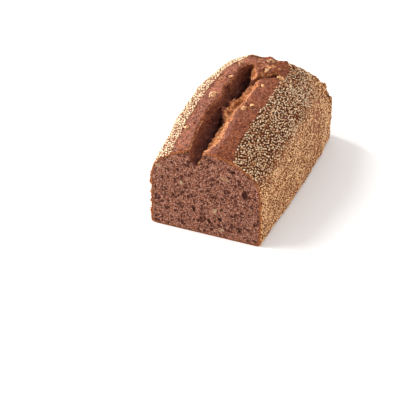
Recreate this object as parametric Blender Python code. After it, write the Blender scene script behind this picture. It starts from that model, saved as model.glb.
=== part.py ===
"""Walnut bread: the heel half of a tin loaf, coated in sesame seed, with its crust split open along the top.

Run with: blender --background --python part.py

The loaf lies along Y on its flat base at z = 0. The knife's cut face looks towards -Y and the baked
heel towards +Y. The origin is the middle of the base. Sizes are in metres.
"""
import math
import random

import bmesh
import bpy
import numpy as np
from mathutils import Matrix, Vector

MM = 0.001

# The loaf's outer form
LENGTH = 214 * MM            # what is left of the loaf, from the cut face to the heel
HALF_WIDTH = 55 * MM         # at the cut face
HALF_BULGE = 2.7 * MM        # how much further each side stands out halfway along
BULGE_SPAN = 1.02 * LENGTH   # the sides stand out over this length, from the cut
SHOULDER = 67.5 * MM         # height at the cut where the tin's straight wall ends
SHOULDER_RISE = 19.5 * MM    # extra height of the shoulder halfway along
SHOULDER_SPAN = 0.88 * LENGTH
FAR_FROM = 90 * MM           # from here to the heel the right shoulder falls off and the left one stays up
FAR_SPAN = 80 * MM
FAR_DROP = 1.5 * MM          # fall of the shoulders by the heel
FAR_LEAN = 6.5 * MM          # further fall of the right one, and rise of the left one
HALF_LEAN = 40 * MM          # the lean is full this far from the middle
CROWN = 91.5 * MM            # height of the top at the cut
CROWN_RISE = 8 * MM          # extra height of the top halfway along
CROWN_SPAN = 1.02 * LENGTH
CROWN_CENTRE = 7 * MM        # the top is highest a little to the right
CROWN_DROP = 1.57            # fall of the top, in metres per square metre off its centre
HEEL_CORNER_LEFT = 34 * MM   # plan radius of the heel's left corner
HEEL_CORNER_RIGHT = 17 * MM
SHOULDER_BLEND = 12.5 * MM   # how widely the wall rounds over into the slope
CROWN_BLEND = 22 * MM        # how widely the slope rounds over into the top
BASE_BLEND = 5 * MM          # how widely the wall rounds under into the base
LUMP = 0.9 * MM              # unevenness of the baked skin
CUT_Y = -LENGTH / 2

# The mesh of the skin
RAYS = 32                    # evenly turned rays of each ring
EDGE_RAYS = (-4, -1.5, 1.5, 4)    # further rays, in degrees from the one to each edge of the base
SHOULDER_RAYS = (-6, -1, 4, 9)    # and in degrees from the one to each shoulder
RAY_CLEAR = math.radians(4.5)     # even rays this near a further one are left out
STATION = 10 * MM            # spacing of the rings along the straight stretch
AXIS_HEIGHT = 42 * MM        # rays leave from this height above the base
HEEL_REACH = 60 * MM         # the heel's columns stand round a hub this far inside its end
# The turns of the heel's columns round that hub, in degrees, closer at the tight right corner
HEEL_TURNS = (16, 32, 39, 46, 53, 61, 75, 90, 105, 119, 133, 148, 164)
FLAT_ANGLE = math.radians(0.2)    # faces of the base that lie this flat become one

# The split along the top, from the cut to the heel: distance from the cut, then the x and the
# height of its floor, the x of its left lip and the x of the edge of the torn crumb on the right
SPLIT = [
    (-4, -9, 74, -18, 2),
    (0, -9, 73, -19, 3),
    (25, -11, 70, -21, 7),
    (50, -13, 66, -23, 5),
    (68, -14, 63, -25.5, 4),
    (88, -12, 62, -19.5, 6),
    (110, -13, 63, -25.6, 7),
    (120, -13, 64, -23.6, 6.5),
    (130, -13.5, 65, -22.7, 4.5),
    (140, -15, 66, -23.8, -1),
    (150, -16.5, 67, -24.3, -6),
    (157, -16.5, 69, -21.5, -9.5),
    (161.5, -15.5, 72, -18, -12),
]
# The side split that leaves it to the right near the heel
BRANCH = [
    (128, -6, 86, -12, 0),
    (134, -0.5, 83, -6, 5),
    (140, 5.5, 82, 0.5, 11),
    (146, 11.5, 84, 7.5, 16.5),
    (151, 16, 89, 12.5, 20.5),
]
# The torn shelf inside the far half of the split: distance from the cut and x of its ragged edge
SHELF = [
    (73, -5),
    (79, -12.5),
    (84, -12.5),
    (97, -8),
    (105, -5.5),
    (113, -3),
    (121, -2),
    (131, -2.5),
    (139, -5),
    (150, -8.5),
]
SHELF_TOP = 90 * MM
GROOVE_STEP = 5 * MM         # spacing of a split's sections
GROOVE_SIDE = 6              # points up each side of a section
GROOVE_TOP = 112 * MM        # the cutters reach up to here, above the crust
FLOOR_HALF = 1.2 * MM        # half the width of a split's floor
TEAR = 0.9 * MM              # raggedness of the torn sides
TEAR_WIDE = 18 * MM          # a split narrower than this is less ragged
HEEL_CRACK = (51.5 * MM, CUT_Y + 193.5 * MM, 57 * MM)    # the short upright crack on the heel's right corner
HEEL_CRACK_SIZE = (3.2 * MM, 7 * MM, 13 * MM)
HEEL_CRACK_TURN = math.radians(-35)
HEEL_CRACK_CLEAR = 12 * MM   # seeds keep this far from it

# Raised lumps of crust near the heel: x, distance from the cut, reach and height
CRUST_LUMPS = [(11, 158, 9, 3.0), (2, 168, 8, 2.6), (34, 120, 20, 0.8), (-44, 60, 22, 0.9)]

# Walnut on the crust: x, distance from the cut, length, width, turn in degrees
CRUST_NUTS = [
    (-29, 92, 11, 8, 35),
    (-27.5, 161, 10, 4.5, 40),
    (-33.5, 36, 6, 4.5, 70),
    (-34, 124, 5.5, 4.5, 20),
    (-26.5, 129, 5.5, 4.2, 100),
    (8.5, 76, 6, 5, 10),
    (14.5, 82, 5.5, 4.6, 60),
    (20.5, 144, 8, 5.5, 120),
    (24, 135, 6, 4, 75),
    (4, 150, 7.5, 5.5, 40),
    (1, 169, 9, 7, 15),
    (11, 120, 5, 3.8, 50),
]
# Walnut cut through by the knife: x and height on the cut face, length, width, turn in degrees
FACE_NUTS = [
    (19, 67, 9.5, 4, 118),
    (9, 29, 6.5, 5, 20),
    (16, 9, 6.5, 3.6, 170),
    (-47, 66, 6.5, 5, 130),
    (-24, 52, 5.5, 3.6, 60),
]
NUT_PROUD = 0.35             # share of a nut's thickness that stands out of the crust
NUT_THICK = 0.75             # a nut's thickness for its width
NUT_ROUND = 2                # subdivisions of a nut
NUT_FOLD = 0.16              # depth of its folds, as a share of its size
NUT_GAP = 0.3 * MM           # a nut sits this clear of the crumb round it

# The large pores that the knife opened: x, height, width, height of the pore, all on the cut face
PORES = [
    (39, 54, 4.5, 9), (-12, 26, 3, 6.5), (-4, 17, 2.6, 4), (27, 76, 4, 2.8), (13, 68, 3.4, 3),
    (-28, 66, 3, 2.4), (14, 20, 3.6, 3.2), (4, 15, 3.2, 2.4), (34, 12, 2.6, 3), (-33, 36, 2.4, 3),
]
PORE_DEPTH = 2.6 * MM

# Sesame: the largest seeds, fused to the crust
SEED_LONG = 3.6 * MM
SEED_WIDE = 2.3 * MM
SEED_THICK = 1.5 * MM
SEED_SUNK = 0.3              # share of a seed's thickness that lies under the skin
SEED_SIDES = 6               # corners of a seed's drop-shaped outline
SEED_TAPER = 0.3             # how much narrower a seed is towards its point
SEED_COUNT = 262
SEED_TRIES = 16000
SEED_LOWEST = 4 * MM         # no seed lies lower than this
SEED_CLEAR = 5 * MM          # seeds keep this far from each other and from the cut
BARE_CENTRE = -7.5 * MM      # the bare strip of crust along the top
BARE_HALF = 32 * MM
BARE_STRAIGHT = 140 * MM
BARE_END = 186 * MM
BARE_POWER = 2.6

CRUST = ("crust", (0.36, 0.15, 0.085), 0.62)
CRUMB = ("crumb", (0.25, 0.105, 0.07), 0.9)
TORN = ("torn_crumb", (0.34, 0.12, 0.045), 0.85)
SESAME = ("sesame", (0.62, 0.43, 0.24), 0.5)
WALNUT = ("walnut", (0.55, 0.36, 0.16), 0.55)


def clear_scene():
    for obj in list(bpy.data.objects):
        bpy.data.objects.remove(obj)


def material(recipe):
    """A plain Principled material from a name, a colour and a roughness."""
    name, colour, roughness = recipe
    made = bpy.data.materials.get(name)
    if made is None:
        made = bpy.data.materials.new(name)
        made.use_nodes = True
        shader = made.node_tree.nodes["Principled BSDF"]
        shader.inputs["Base Color"].default_value = (*colour, 1)
        shader.inputs["Roughness"].default_value = roughness
        shader.inputs["Metallic"].default_value = 0
        made.diffuse_color = (*colour, 1)
    return made


def smooth_max(a, b, blend):
    """The larger of two distances, rounded off where they meet."""
    near = np.maximum(blend - np.abs(a - b), 0) / blend
    return np.maximum(a, b) + near * near * blend / 4


def lumps(x, s, z):
    """Slow unevenness of the baked skin, from -1 to 1."""
    a = np.sin(61 * x + 2.1 * np.sin(37 * s) + 0.7) * np.sin(83 * s + 1.3)
    b = np.sin(127 * z + 1.9 * np.sin(71 * s + 1)) * np.sin(97 * (x + s) + 2.2)
    return 0.6 * a + 0.4 * b


def crown_at(s):
    """The height of the top's ridge at distance s from the cut."""
    return CROWN + CROWN_RISE * np.sin(np.pi * s / CROWN_SPAN)


def skin(x, y, z):
    """How far a point is outside the loaf's skin before it split; negative inside."""
    s = y - CUT_Y
    swell = np.sin(np.pi * np.clip(s / BULGE_SPAN, 0, 1.1))
    far = np.clip((s - FAR_FROM) / FAR_SPAN, 0, 1) * (FAR_DROP + FAR_LEAN * np.clip(x / HALF_LEAN, -1, 1))
    shoulder = SHOULDER + SHOULDER_RISE * np.sin(np.pi * s / SHOULDER_SPAN) - far
    crown = crown_at(s)
    crown = crown - CROWN_DROP * (x - CROWN_CENTRE) ** 2
    for lump_x, lump_s, reach, height in CRUST_LUMPS:
        off = np.hypot(x - lump_x * MM, s - lump_s * MM) / (reach * MM)
        crown = crown + height * MM * np.exp(-2 * off * off)
    corner_radius = np.where(x > 0, HEEL_CORNER_RIGHT, HEEL_CORNER_LEFT)
    side = np.abs(x) - HALF_WIDTH - HALF_BULGE * swell + corner_radius
    end = s - LENGTH + corner_radius
    corner = np.hypot(np.maximum(side, 0), np.maximum(end, 0))
    wall = corner + np.minimum(np.maximum(side, end), 0) - corner_radius
    slope = (wall + z - shoulder) / math.sqrt(2)
    top = smooth_max(slope, z - crown, CROWN_BLEND)
    body = smooth_max(wall, top, SHOULDER_BLEND) + LUMP * lumps(x, s, z)
    return smooth_max(body, -z, BASE_BLEND)


def reach_skin(starts, rays):
    """The points where rays from inside the loaf meet its skin, by bisection."""
    near = np.zeros(len(rays))
    far = np.full(len(rays), 2 * LENGTH)
    for _ in range(40):
        middle = (near + far) / 2
        inside = skin(*(starts + rays * middle[:, None]).T) < 0
        near = np.where(inside, middle, near)
        far = np.where(inside, far, middle)
    return starts + rays * near[:, None]


def skin_normal(point):
    step = 0.5 * MM
    x, y, z = point
    slopes = [
        skin(x + step, y, z) - skin(x - step, y, z),
        skin(x, y + step, z) - skin(x, y - step, z),
        skin(x, y, z + step) - skin(x, y, z - step),
    ]
    return Vector(slopes).normalized()


def new_object(name, bm, recipe, collection=None):
    mesh = bpy.data.meshes.new(name)
    bmesh.ops.recalc_face_normals(bm, faces=bm.faces)
    bm.to_mesh(mesh)
    bm.free()
    mesh.materials.append(material(recipe))
    obj = bpy.data.objects.new(name, mesh)
    (collection or bpy.context.scene.collection).objects.link(obj)
    return obj


def ring_turns():
    """The turns of a ring's rays, from straight down: even, but closer by the edges and the shoulders."""
    edge = math.atan2(AXIS_HEIGHT, HALF_WIDTH)
    shoulder = math.atan2(SHOULDER - AXIS_HEIGHT, HALF_WIDTH)
    close = [math.radians(turn) - edge for turn in EDGE_RAYS]
    close += [math.radians(turn) + shoulder for turn in SHOULDER_RAYS]
    close = np.array(close + [math.pi - turn for turn in close])
    even = 2 * math.pi * np.arange(RAYS) / RAYS - math.pi / 2
    clear = np.abs(even[:, None] - close).min(axis=1) > RAY_CLEAR
    return np.sort(np.concatenate([even[clear], close]))


def heel_column(hub, turn, rises):
    """Points up the skin of the heel at one turn round hub, all the columns at the same heights."""
    level = np.array([math.cos(turn), math.sin(turn), 0.0])
    start = np.array([[0, hub, AXIS_HEIGHT]])
    reach = np.linalg.norm(reach_skin(start, level[None, :])[0] - start[0])
    rays = level * reach + np.outer(HALF_WIDTH * np.tan(rises), (0, 0, 1))
    rays = rays / np.linalg.norm(rays, axis=1)[:, None]
    return reach_skin(np.repeat(start, len(rises), axis=0), rays)


def make_skin():
    """The whole loaf before it split: rings along the straight stretch, then columns round the heel."""
    turns = ring_turns()
    sides = len(turns)
    around = np.stack([np.cos(turns), np.zeros(sides), np.sin(turns)], axis=1)
    hub = CUT_Y + LENGTH - HEEL_REACH
    count = round((hub - CUT_Y) / STATION)
    bm = bmesh.new()
    loops = []
    for y in np.linspace(CUT_Y, hub, count + 1):
        ring = reach_skin(np.tile([0, y, AXIS_HEIGHT], (sides, 1)), around)
        loops.append([bm.verts.new(point) for point in ring])
    bm.faces.new(loops[0])
    for near, far in zip(loops, loops[1:]):
        for i in range(sides):
            j = (i + 1) % sides
            bm.faces.new((near[i], near[j], far[j], far[i]))

    last = loops[-1]
    top = sides // 2
    columns = [last[:top + 1]]
    for turn in HEEL_TURNS:
        points = heel_column(hub, math.radians(turn), turns[1:top])
        columns.append([last[0], *[bm.verts.new(point) for point in points], last[top]])
    columns.append([last[-i % sides] for i in range(top + 1)])
    for near, far in zip(columns, columns[1:]):
        for i in range(top):
            corners = (near[i], near[i + 1], far[i + 1], far[i])
            bm.faces.new(dict.fromkeys(corners))
    bm.normal_update()
    bmesh.ops.dissolve_limit(bm, angle_limit=FLAT_ANGLE, verts=bm.verts, edges=bm.edges)
    return new_object("loaf", bm, CRUST)


def along(stations, s):
    """A split's floor x, floor height, left lip and right lip at distance s from the cut."""
    table = np.array(stations, float) * MM
    return [float(np.interp(s, table[:, 0], column)) for column in table[:, 1:].T]


def groove(name, stations, rng):
    """The cutter of a split: ragged sections from floor to lips, lofted along the loaf."""
    shelf_s, shelf_x = np.array(SHELF, float).T * MM
    first, last = stations[0][0] * MM, stations[-1][0] * MM
    count = round((last - first) / GROOVE_STEP)
    bm = bmesh.new()
    loops = []
    for s in np.linspace(first, last, count + 1):
        floor_x, floor_z, left, right = along(stations, s)
        crust = max(crown_at(s), floor_z + 4 * TEAR)
        tear = TEAR * min((right - left) / TEAR_WIDE, 1)
        section = []
        for side, lip, steep in ((-1, left, 0.7), (1, right, 2.2)):
            climb = []
            for i in range(GROOVE_SIDE):
                up = i / (GROOVE_SIDE - 1)
                foot = floor_x + side * FLOOR_HALF
                x = foot + (lip - foot) * up ** steep
                z = floor_z + (crust - floor_z) * up
                if side > 0 and stations is SPLIT and z < SHELF_TOP and shelf_s[0] < s < shelf_s[-1]:
                    x = min(x, float(np.interp(s, shelf_s, shelf_x)) - FLOOR_HALF)
                climb.append((x + rng.uniform(-tear, tear), z + rng.uniform(-tear, tear)))
            climb.append((lip + side * FLOOR_HALF * 2, GROOVE_TOP))
            section = climb[::-1] + section if side < 0 else section + climb
        loops.append([bm.verts.new((x, CUT_Y + s, z)) for x, z in section])
    for near, far in zip(loops, loops[1:]):
        for i in range(len(near)):
            j = (i + 1) % len(near)
            bm.faces.new((near[i], near[j], far[j], far[i]))
    bm.faces.new(loops[0])
    bm.faces.new(loops[-1][::-1])
    bm.normal_update()
    bmesh.ops.triangulate(bm, faces=bm.faces, ngon_method="EAR_CLIP")
    return new_object(name, bm, TORN)


def ball(centre, size, frame, detail):
    """A round mesh of the given full sizes along the axes of frame."""
    bm = bmesh.new()
    scale = Matrix.Diagonal((size[0] / 2, size[1] / 2, size[2] / 2, 1))
    place = Matrix.Translation(centre) @ frame.to_4x4() @ scale
    bmesh.ops.create_icosphere(bm, subdivisions=detail, radius=1, matrix=place)
    return bm


def cut(target, cutters, operation="DIFFERENCE"):
    """Applies one Boolean with all the cutters, then removes them."""
    group = bpy.data.collections.new("cutters")
    for obj in cutters:
        for home in list(obj.users_collection):
            home.objects.unlink(obj)
        group.objects.link(obj)
    bpy.context.scene.collection.children.link(group)
    boolean = target.modifiers.new(operation.lower(), "BOOLEAN")
    boolean.operand_type = "COLLECTION"
    boolean.collection = group
    boolean.operation = operation
    boolean.solver = "MANIFOLD"
    boolean.material_mode = "TRANSFER"
    bpy.context.view_layer.objects.active = target
    bpy.ops.object.modifier_apply(modifier=boolean.name)
    for obj in cutters:
        bpy.data.objects.remove(obj)
    bpy.data.collections.remove(group)


def lying_frame(normal, turn):
    """Axes of a thing lying on a surface: its length turned in the surface, its thickness along normal."""
    side = normal.orthogonal().normalized()
    side = Matrix.Rotation(turn, 3, normal) @ side
    return Matrix((side, normal.cross(side), normal)).transposed()


def on_crust(x, s):
    """The point of the top of the loaf above x and s, and the skin's normal there."""
    start = np.array([[x, CUT_Y + s, AXIS_HEIGHT]])
    point = reach_skin(start, np.array([[0.0, 0.0, 1.0]]))[0]
    return Vector(point), skin_normal(point)


def knobbly(bm, centre, depth, rng):
    """Gives a nut the folds of a walnut kernel."""
    phase = rng.uniform(0, 6)
    for vert in bm.verts:
        out = vert.co - centre
        fold = math.sin(900 * out.x + phase) * math.sin(1100 * out.y + 2 * phase) * math.sin(1000 * out.z)
        vert.co = centre + out * (1 + depth * fold + rng.uniform(-depth, depth) / 2)


def nut_meshes(centre, size, frame, seed):
    """The mesh of a nut, and that of the slightly larger pocket it lies in."""
    meshes = []
    for swell in (0, 2 * NUT_GAP):
        grown = [length + swell for length in size]
        bm = ball(centre, grown, frame, NUT_ROUND)
        knobbly(bm, centre, NUT_FOLD, random.Random(seed))
        meshes.append(bm)
    return meshes


def make_nuts():
    """The walnut pieces and the pockets that they lie in."""
    nuts, pockets = [], []
    number = 0
    for x, s, long, wide, turn in CRUST_NUTS:
        number += 1
        point, normal = on_crust(x * MM, s * MM)
        thick = NUT_THICK * wide * MM
        centre = point + normal * thick * (NUT_PROUD - 0.5)
        frame = lying_frame(normal, math.radians(turn))
        nut, pocket = nut_meshes(centre, (long * MM, wide * MM, thick), frame, number)
        nuts.append(new_object(f"walnut_{number:02d}", nut, WALNUT))
        pockets.append(new_object(f"pocket_{number:02d}", pocket, CRUST))
    for x, z, long, wide, turn in FACE_NUTS:
        number += 1
        centre = Vector((x * MM, CUT_Y, z * MM))
        frame = lying_frame(Vector((0, -1, 0)), math.radians(turn))
        nut, pocket = nut_meshes(centre, (long * MM, wide * MM, wide * MM), frame, number)
        halves = bmesh.ops.bisect_plane(
            nut, geom=nut.verts[:] + nut.edges[:] + nut.faces[:], plane_co=centre,
            plane_no=(0, -1, 0), clear_outer=True)
        rim = [edge for edge in halves["geom_cut"] if isinstance(edge, bmesh.types.BMEdge)]
        bmesh.ops.edgeloop_fill(nut, edges=rim)
        nuts.append(new_object(f"walnut_{number:02d}", nut, WALNUT))
        pockets.append(new_object(f"pocket_{number:02d}", pocket, CRUMB))
    return nuts, pockets


def make_pores():
    pores = []
    for number, (x, z, wide, tall) in enumerate(PORES):
        centre = Vector((x * MM, CUT_Y, z * MM))
        size = (wide * MM, 2 * PORE_DEPTH, tall * MM)
        bm = ball(centre, size, Matrix.Rotation(0.3 * number, 3, "Y"), 1)
        pores.append(new_object(f"pore_{number:02d}", bm, CRUMB))
    return pores


def heel_crack():
    bm = bmesh.new()
    place = Matrix.Translation(HEEL_CRACK) @ Matrix.Rotation(HEEL_CRACK_TURN, 4, "Z")
    size = Matrix.Diagonal((*HEEL_CRACK_SIZE, 1))
    bmesh.ops.create_cone(bm, cap_ends=True, segments=6, radius1=0.35, radius2=0.55, depth=1,
                          matrix=place @ size)
    return new_object("heel_crack", bm, TORN)


def bare(x, s, z):
    """True where the stretched crust along the top carries no seed."""
    beyond = max(s - BARE_STRAIGHT, 0) / (BARE_END - BARE_STRAIGHT)
    across = abs(x - BARE_CENTRE) / BARE_HALF
    return z > SHOULDER and across**BARE_POWER + beyond**BARE_POWER < 1


def seed_places(rng):
    """Points spread evenly over the coated crust: both sides, the slopes and the heel."""
    places = []
    hub = CUT_Y + LENGTH - HEEL_REACH
    ray = 0
    golden = (1 + math.sqrt(5)) / 2
    while len(places) < SEED_COUNT and ray < SEED_TRIES:
        ray += 1
        turn = 2 * math.pi * (ray / golden % 1)
        share = (ray * math.sqrt(2)) % 1
        run = share * (LENGTH + HEEL_REACH / 2)
        lean = 0.0
        y = CUT_Y + SEED_CLEAR / 2 + run
        if y > hub:
            lean = (y - hub) / (HEEL_REACH * 1.5) * math.pi / 2
            y = hub
        direction = np.array([[math.cos(turn) * math.cos(lean), math.sin(lean),
                               math.sin(turn) * math.cos(lean)]])
        point = reach_skin(np.array([[0, y, AXIS_HEIGHT]]), direction)[0]
        x, at_y, z = point
        s = at_y - CUT_Y
        cracked = (Vector(point) - Vector(HEEL_CRACK)).length < HEEL_CRACK_CLEAR
        if z < SEED_LOWEST or bare(x, s, z) or cracked:
            continue
        if all((Vector(point) - other).length > SEED_CLEAR for other, _ in places):
            places.append((Vector(point), rng.uniform(0, math.pi)))
    return places


def seed_mesh(centre, frame):
    """A drop-shaped sesame seed with a ridge line round it, pointed at one end."""
    bm = bmesh.new()
    rim = []
    for side in range(SEED_SIDES):
        turn = 2 * math.pi * side / SEED_SIDES
        wide = SEED_WIDE / 2 * math.sin(turn) * (1 - SEED_TAPER * math.cos(turn))
        rim.append(bm.verts.new(centre + frame @ Vector((SEED_LONG / 2 * math.cos(turn), wide, 0))))
    for height in (SEED_THICK / 2, -SEED_THICK / 2):
        tip = bm.verts.new(centre + frame @ Vector((-SEED_LONG / 8, 0, height)))
        for i in range(SEED_SIDES):
            bm.faces.new((rim[i], rim[(i + 1) % SEED_SIDES], tip))
    return bm


def make_seeds(loaf):
    """Seeds that lie on the faces of the loaf, a little sunk into them."""
    rng = random.Random(7)
    seeds = []
    for number, (place, turn) in enumerate(seed_places(rng)):
        _, point, normal, _ = loaf.closest_point_on_mesh(place)
        centre = point + normal * SEED_THICK * (0.5 - SEED_SUNK)
        frame = lying_frame(normal, turn)
        seeds.append(new_object(f"seed_{number:03d}", seed_mesh(centre, frame), SESAME))
    return seeds


def main():
    clear_scene()
    loaf = make_skin()
    rng = random.Random(3)
    cut(loaf, [groove("split", SPLIT, rng)])
    cut(loaf, [groove("branch", BRANCH, rng)])
    nuts, pockets = make_nuts()
    cut(loaf, pockets + make_pores() + [heel_crack()])
    cut(loaf, make_seeds(loaf), "UNION")
    for obj in [loaf, *nuts]:
        obj.data.shade_smooth()
        obj.data.set_sharp_from_angle(angle=math.radians(35))


main()
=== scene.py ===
"""Walnut bread: the heel half of a tin loaf, dressed with real crumb, torn crust, sesame and walnut.

The file is laid out as an add-on for the 3D view and is run as a script. The loaf lies along Y, its cut
face looks towards -Y and its flat base is at z = 0. Sizes are in metres, those in tables in millimetres,
and colours are given as they look.
"""

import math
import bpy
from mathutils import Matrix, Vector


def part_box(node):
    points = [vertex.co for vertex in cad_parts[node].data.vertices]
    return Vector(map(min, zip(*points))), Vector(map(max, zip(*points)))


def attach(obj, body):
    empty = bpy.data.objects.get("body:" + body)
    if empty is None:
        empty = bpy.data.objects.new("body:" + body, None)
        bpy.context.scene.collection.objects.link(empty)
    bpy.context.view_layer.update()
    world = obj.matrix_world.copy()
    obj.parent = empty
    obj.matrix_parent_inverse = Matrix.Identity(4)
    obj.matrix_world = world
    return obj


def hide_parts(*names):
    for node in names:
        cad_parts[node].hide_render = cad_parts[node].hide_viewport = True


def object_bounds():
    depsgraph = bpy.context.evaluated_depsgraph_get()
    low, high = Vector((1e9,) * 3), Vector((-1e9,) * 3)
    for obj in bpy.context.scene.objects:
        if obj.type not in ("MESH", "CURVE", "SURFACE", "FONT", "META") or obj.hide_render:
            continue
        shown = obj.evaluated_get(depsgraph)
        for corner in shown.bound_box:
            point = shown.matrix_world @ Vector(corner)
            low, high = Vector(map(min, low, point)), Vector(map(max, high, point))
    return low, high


bl_info = {
    "name": "Walnut Bread",
    "version": (1, 0, 0),
    "blender": (4, 5, 0),
    "location": "3D View > Sidebar > Walnut Bread",
    "description": "Builds a cut walnut loaf with sesame, walnut pieces and a soft studio",
    "category": "Add Mesh",
}

import bmesh
import bpy
import numpy as np
from bpy.props import FloatProperty, FloatVectorProperty, IntProperty, PointerProperty
from mathutils import Vector

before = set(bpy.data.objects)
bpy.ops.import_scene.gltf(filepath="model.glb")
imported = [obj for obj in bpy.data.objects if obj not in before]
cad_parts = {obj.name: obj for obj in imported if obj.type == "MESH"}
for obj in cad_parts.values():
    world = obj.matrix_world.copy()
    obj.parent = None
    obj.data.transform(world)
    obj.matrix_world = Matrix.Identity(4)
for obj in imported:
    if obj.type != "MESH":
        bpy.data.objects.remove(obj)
CAD_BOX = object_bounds()

MM = 0.001

# The loaf's form, the same values as in its solids
LENGTH = 214 * MM
HALF_WIDTH = 55 * MM
HALF_BULGE = 2.7 * MM
BULGE_SPAN = 1.02 * LENGTH
SHOULDER = 67.5 * MM
SHOULDER_RISE = 19.5 * MM
SHOULDER_SPAN = 0.88 * LENGTH
FAR_FROM = 90 * MM
FAR_SPAN = 80 * MM
FAR_DROP = 1.5 * MM
FAR_LEAN = 6.5 * MM
HALF_LEAN = 40 * MM
CROWN = 91.5 * MM
CROWN_RISE = 8 * MM
CROWN_SPAN = 1.02 * LENGTH
CROWN_CENTRE = 7 * MM
CROWN_DROP = 1.57
HEEL_CORNER_LEFT = 34 * MM
HEEL_CORNER_RIGHT = 17 * MM
SHOULDER_BLEND = 12.5 * MM
CROWN_BLEND = 22 * MM
BASE_BLEND = 5 * MM
LUMP = 0.9 * MM
CUT_Y = -LENGTH / 2

# The split along the top: distance from the cut, x and height of its floor, x of its left and right lips
SPLIT = [
    (-4, -9, 74, -18, 2),
    (0, -9, 73, -19, 3),
    (25, -11, 70, -21, 7),
    (50, -13, 66, -23, 5),
    (68, -14, 63, -25.5, 4),
    (88, -12, 62, -19.5, 6),
    (110, -13, 63, -25.6, 7),
    (120, -13, 64, -23.6, 6.5),
    (130, -13.5, 65, -22.7, 4.5),
    (140, -15, 66, -23.8, -1),
    (150, -16.5, 67, -24.3, -6),
    (157, -16.5, 69, -21.5, -9.5),
    (161.5, -15.5, 72, -18, -12),
]
BRANCH = [
    (128, -6, 86, -12, 0),
    (134, -0.5, 83, -6, 5),
    (140, 5.5, 82, 0.5, 11),
    (146, 11.5, 84, 7.5, 16.5),
    (151, 16, 89, 12.5, 20.5),
]
FLOOR_HALF = 1.2 * MM
LEFT_LEAN, RIGHT_LEAN = 0.95, 0.86    # the distance square to each leaning wall, for one measured level
LIP_BLEND = 1.8 * MM          # how widely the lips of a split are rounded
BRANCH_OPEN = 0.8 * MM       # the side split gapes this much further
# The torn shelf inside the far half of the split: distance from the cut, x of its edge, height of its top
SHELF = [
    (71, -6, 85),
    (75, -10.5, 87.5),
    (79, -15.5, 89),
    (82, -15.5, 89.5),
    (89, -12.5, 90.5),
    (97, -10.5, 91),
    (105, -8, 91.5),
    (113, -5.5, 92),
    (121, -4.5, 92.5),
    (131, -5, 93),
    (139, -7.5, 93),
    (150, -11, 93),
    (158, -13.5, 93),
]
# The short crack at the heel's corner: its middle, half its size each way, and its turn
HEEL_CRACK = (52 * MM, CUT_Y + 196.5 * MM, 57 * MM)
HEEL_CRACK_SIZE = (2.4 * MM, 4 * MM, 6.5 * MM)
HEEL_CRACK_TURN = math.radians(-35)

# Small crags: x, distance from the cut, height, level reach, upward reach, how far they stand out
CRAGS = [
    (47, 200.5, 63.5, 2.2, 3.5, 4.6), (54.3, 199, 49, 2.2, 3.5, 4.6), (-5, 187, 92, 4.5, 4, 3.2),
    (-25, 181, 91, 4, 4, 1.6), (12, 178, 96, 5, 5, 1.8), (-15, 180, 94, 3, 3, -1.6), (22, 174, 93, 4, 4, 1.4),
]

# Raised lumps of crust near the heel: x, distance from the cut, reach and height
CRUST_LUMPS = [(11, 158, 9, 3.0), (2, 168, 8, 2.6), (34, 120, 20, 0.8), (-44, 60, 22, 0.9)]

# The large pores that the knife opened: x, height, width, height of the pore
LARGE_PORES = [
    (39, 54, 4.5, 9), (-12, 26, 3, 6.5), (-4, 17, 2.6, 4), (27, 76, 4, 2.8), (13, 68, 3.4, 3),
    (-28, 66, 3, 2.4), (14, 20, 3.6, 3.2), (4, 15, 3.2, 2.4), (34, 12, 2.6, 3), (-33, 36, 2.4, 3),
]
PORE_WIDER = 1.25            # they are drawn this much larger than in the solids

# The bare strip along the top: distance from the cut, x of its left and right edges
BARE_STRIP = [
    (0, -34, 27),
    (25, -36, 23),
    (60, -38, 23.5),
    (110, -40, 24.5),
    (150, -38, 23.5),
    (168, -33, 22),
    (178, -25, 15),
    (187, -8, -4),
]
# The sesame is pale above this height and golden below it
WALL_TOP = 67 * MM
WALL_TOP_RISE = 13 * MM      # and this much higher halfway along
NUT_HOLLOW = 1.1 * MM        # how far the crust keeps from a walnut piece
KNIFE_DEPTH = 0.16 * MM      # how far the crumb lies behind the knife's plane
KNIFE_ROUGH = 0.13 * MM      # and how much that varies
SKIN_BAND = 5 * MM           # the relief reaches this far either side of the surface
LOWEST_SEED = 1.2 * MM
STEEPEST_SEED = -0.55        # no seed lies where the crust faces further down than this
# The rubbed patch on the right wall: distance from the cut, height and the two reaches
RUBBED_PATCH = (150 * MM, 46 * MM, 24 * MM, 34 * MM)


def tint(red, green, blue):
    """A colour as it looks, 0 to 255, turned into a linear one."""
    parts = [value / 255 for value in (red, green, blue)]
    return [p / 12.92 if p < 0.04045 else ((p + 0.055) / 1.055) ** 2.4 for p in parts] + [1.0]


def colour_property(name, description, *value):
    return FloatVectorProperty(
        name=name, description=description, default=tint(*value), subtype="COLOR", size=4, min=0, max=1)


def length_property(name, description, value):
    return FloatProperty(name=name, description=description, default=value, min=0, unit="LENGTH")


def power_property(name, description, value):
    return FloatProperty(name=name, description=description, default=value, min=0, unit="POWER")


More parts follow.
